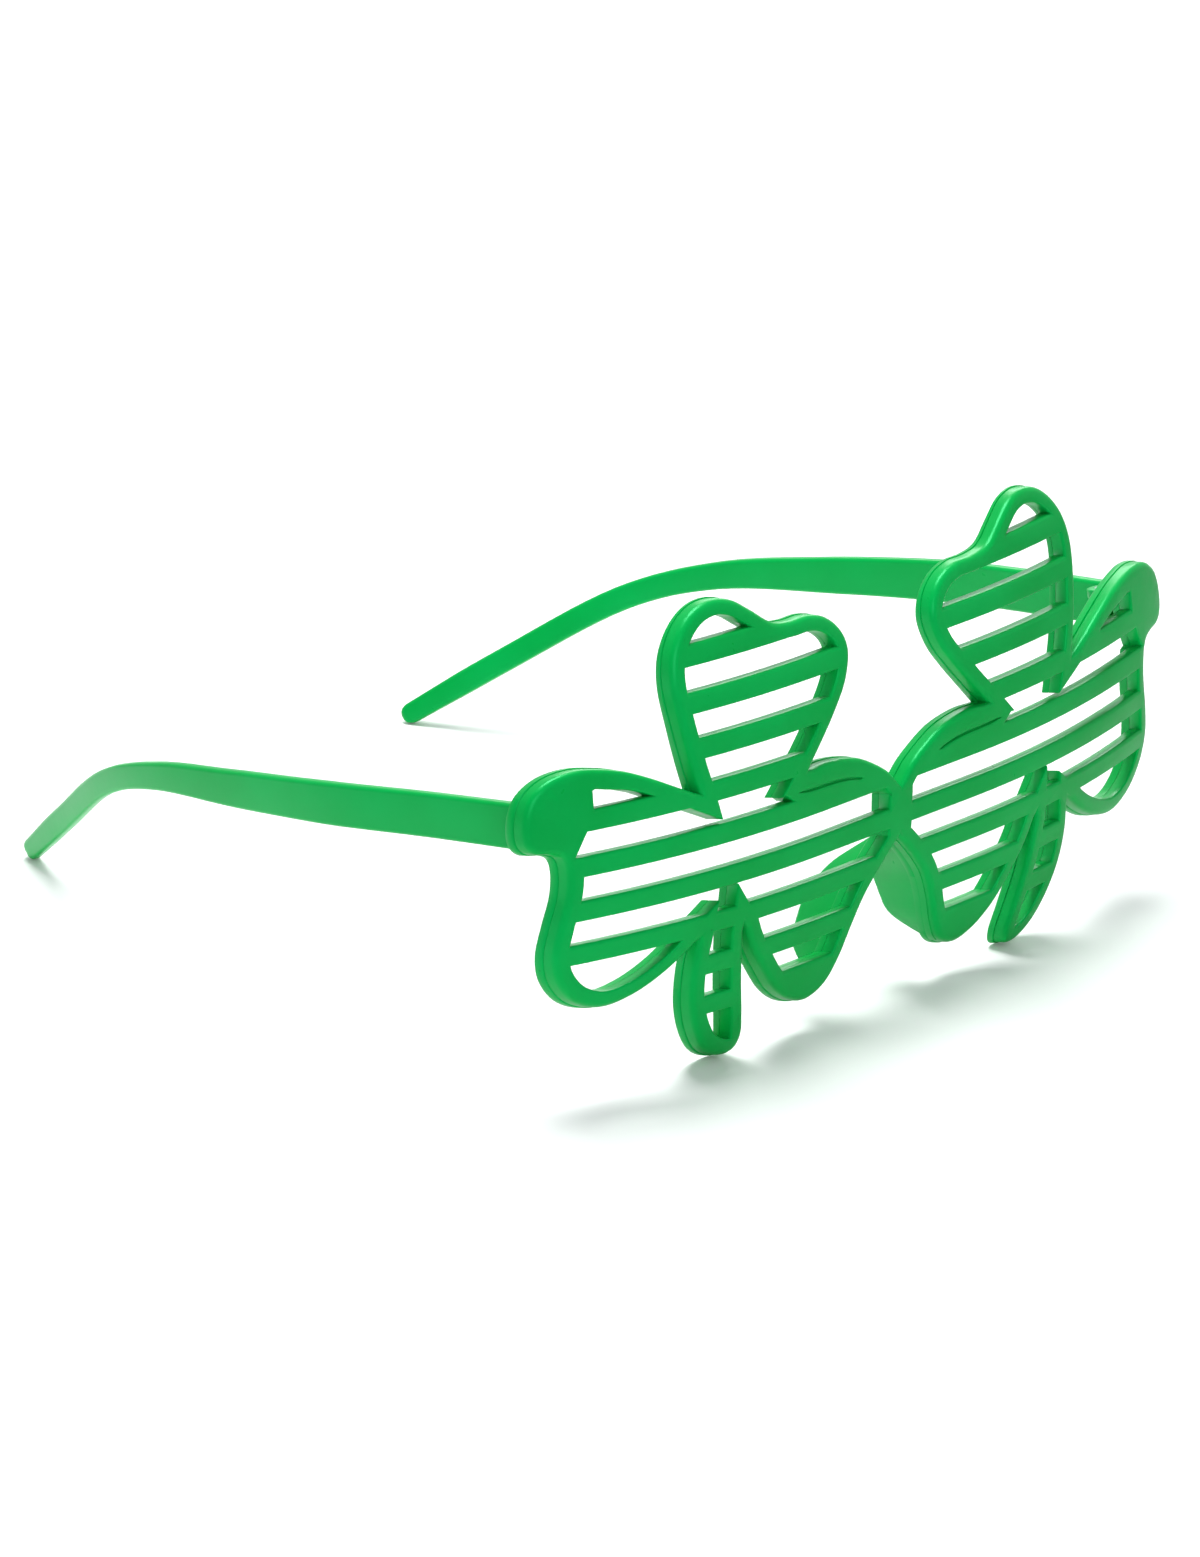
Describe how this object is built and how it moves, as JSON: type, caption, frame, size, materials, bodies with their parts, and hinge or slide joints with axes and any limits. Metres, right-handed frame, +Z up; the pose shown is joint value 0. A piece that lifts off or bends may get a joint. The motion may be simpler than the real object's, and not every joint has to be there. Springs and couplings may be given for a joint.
{
  "type": "party glasses",
  "caption": "Novelty glasses with a louvred front shaped as a pair of shamrocks, nose pads, and curved arms that fold on hinge pins.",
  "frame": {"origin": "on the table under the middle of the open glasses: the centre of the bottom of the bounding box", "axes": "+X to the wearer's left-right line, to the right in a front view; +Y from the louvred front back to the ear tips; +Z up"},
  "size_m": [0.1602, 0.1524, 0.0799],
  "materials": {
    "front": "satin gloss moulded plastic",
    "arms": "satin gloss moulded plastic",
    "pins": "drawn wire"
  },
  "bodies": {
    "front": {"front_frame": "front", "hinge_pin_left": "pins", "hinge_pin_right": "pins"},
    "left_arm": {"temple_left": "arms"},
    "right_arm": {"temple_right": "arms"}
  },
  "joints": [
    {"name": "left_arm_fold", "type": "hinge", "parent": "front", "child": "left_arm", "pos_m": [-0.071, -0.0593, 0.0486], "axis": [0, -0.2351, -0.972], "range_deg": [0, 66]},
    {"name": "right_arm_fold", "type": "hinge", "parent": "front", "child": "right_arm", "pos_m": [0.071, -0.0593, 0.0486], "axis": [0, 0.2351, 0.972], "range_deg": [0, 79]}
  ]
}
